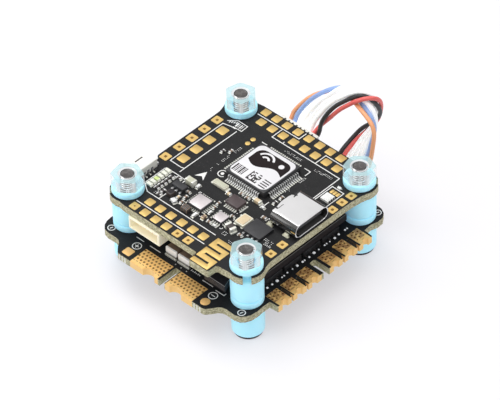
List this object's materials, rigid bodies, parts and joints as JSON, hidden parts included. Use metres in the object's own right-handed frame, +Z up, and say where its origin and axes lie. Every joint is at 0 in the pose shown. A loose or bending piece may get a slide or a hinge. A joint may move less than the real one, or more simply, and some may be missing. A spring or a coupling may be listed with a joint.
{
  "type": "flight controller stack",
  "caption": "Flight controller board over a speed controller board on soft grommets, with screws and clear nuts, a USB port, plated solder pads and a plug-in cable loop.",
  "frame": {"origin": "middle of the footprint (boards and cable), on the plane the four screw heads rest on; the centre of the 30.5 mm hole pattern is at y = -3.86 mm", "axes": "+Y forward (direction arrow on the board, cable side), +X the USB side, +Z up"},
  "size_m": [0.0418, 0.0532, 0.0255],
  "materials": {
    "circuit_board": "satin black solder mask over glass-epoxy, gold-plated pads",
    "silicone": "soft satin silicone",
    "clear_plastic": "clear, polished",
    "screw_steel": "zinc-plated, threaded",
    "connector_steel": "drawn and plated",
    "chip_epoxy": "matt moulded epoxy",
    "ceramic_beige": "glazed ceramic",
    "cream_plastic": "moulded nylon",
    "white_plastic": "moulded nylon",
    "anodised_aluminium": "black anodised, bright sawn rim",
    "thermal_pad": "soft filled silicone",
    "capacitor_ceramic": "fired ceramic with tin ends",
    "insulation_orange": "soft wire insulation",
    "insulation_blue": "soft wire insulation",
    "insulation_white": "soft wire insulation",
    "insulation_red": "soft wire insulation",
    "insulation_black": "soft wire insulation"
  },
  "bodies": {
    "stack": {"boot_button_body": "chip_epoxy", "crystal_main": "ceramic_beige", "crystal_small": "ceramic_beige", "esc_board": "circuit_board", "esc_cable_socket": "cream_plastic", "esc_grommet_back_left": "silicone", "esc_grommet_back_right": "silicone", "esc_grommet_front_left": "silicone", "esc_grommet_front_right": "silicone", "fc_board": "circuit_board", "fc_cable_socket": "cream_plastic", "fc_grommet_back_left": "silicone", "fc_grommet_back_right": "silicone", "fc_grommet_front_left": "silicone", "fc_grommet_front_right": "silicone", "filter_capacitor": "ceramic_beige", "front_connector": "cream_plastic", "heat_spreader": "anodised_aluminium", "mcu": "chip_epoxy", "memory_chip": "chip_epoxy", "motion_sensor": "chip_epoxy", "power_capacitor_1": "capacitor_ceramic", "power_capacitor_2": "capacitor_ceramic", "radio_chip": "chip_epoxy", "side_connector": "white_plastic", "thermal_pad": "thermal_pad", "transistor_left_1": "chip_epoxy", "transistor_left_2": "chip_epoxy", "transistor_left_3": "chip_epoxy", "transistor_left_4": "chip_epoxy", "transistor_left_5": "chip_epoxy", "transistor_left_6": "chip_epoxy", "transistor_right_1": "chip_epoxy", "transistor_right_2": "chip_epoxy", "transistor_right_3": "chip_epoxy", "transistor_right_4": "chip_epoxy", "transistor_right_5": "chip_epoxy", "transistor_right_6": "chip_epoxy", "usb_c_shell": "connector_steel", "usb_c_tongue": "chip_epoxy", "video_chip": "chip_epoxy"},
    "cable": {"wire_black": "insulation_black", "wire_blue": "insulation_blue", "wire_orange": "insulation_orange", "wire_red": "insulation_red", "wire_white_1": "insulation_white", "wire_white_2": "insulation_white", "wire_white_3": "insulation_white", "wire_white_4": "insulation_white", "fc_cable_plug": "white_plastic", "esc_cable_plug": "white_plastic"},
    "boot_button": {"boot_button_plunger": "white_plastic"},
    "screw_front_right": {"screw_front_right": "screw_steel"},
    "nut_front_right": {"nut_front_right": "clear_plastic"},
    "screw_back_right": {"screw_back_right": "screw_steel"},
    "nut_back_right": {"nut_back_right": "clear_plastic"},
    "screw_back_left": {"screw_back_left": "screw_steel"},
    "nut_back_left": {"nut_back_left": "clear_plastic"},
    "screw_front_left": {"screw_front_left": "screw_steel"},
    "nut_front_left": {"nut_front_left": "clear_plastic"}
  },
  "joints": [
    {"name": "screw_turn_front_right", "type": "hinge", "parent": "stack", "child": "screw_front_right", "pos_m": [0.01525, -0.01911, 0], "axis": [0, 0, -1], "range_deg": [0, 2016.5]},
    {"name": "nut_travel_front_right", "type": "slide", "parent": "stack", "child": "nut_front_right", "axis": [0, 0, 1], "range_m": [0, 0.0028]},
    {"name": "screw_turn_back_right", "type": "hinge", "parent": "stack", "child": "screw_back_right", "pos_m": [0.01525, 0.01139, 0], "axis": [0, 0, -1], "range_deg": [0, 2016.5]},
    {"name": "nut_travel_back_right", "type": "slide", "parent": "stack", "child": "nut_back_right", "axis": [0, 0, 1], "range_m": [0, 0.0028]},
    {"name": "screw_turn_back_left", "type": "hinge", "parent": "stack", "child": "screw_back_left", "pos_m": [-0.01525, 0.01139, 0], "axis": [0, 0, -1], "range_deg": [0, 2016.5]},
    {"name": "nut_travel_back_left", "type": "slide", "parent": "stack", "child": "nut_back_left", "axis": [0, 0, 1], "range_m": [0, 0.0028]},
    {"name": "screw_turn_front_left", "type": "hinge", "parent": "stack", "child": "screw_front_left", "pos_m": [-0.01525, -0.01911, 0], "axis": [0, 0, -1], "range_deg": [0, 2016.5]},
    {"name": "nut_travel_front_left", "type": "slide", "parent": "stack", "child": "nut_front_left", "axis": [0, 0, 1], "range_m": [0, 0.0028]},
    {"name": "cable_unplug", "type": "slide", "parent": "stack", "child": "cable", "axis": [0, 1, 0], "range_m": [0, 0.006]},
    {"name": "boot_button_press", "type": "slide", "parent": "stack", "child": "boot_button", "axis": [1, 0, 0], "range_m": [0, 0.00025]}
  ],
  "couplings": [
    {"joint": "screw_turn_front_right", "follows": "nut_travel_front_right", "rad_per_m": 12566},
    {"joint": "screw_turn_back_right", "follows": "nut_travel_back_right", "rad_per_m": 12566},
    {"joint": "screw_turn_back_left", "follows": "nut_travel_back_left", "rad_per_m": 12566},
    {"joint": "screw_turn_front_left", "follows": "nut_travel_front_left", "rad_per_m": 12566}
  ]
}
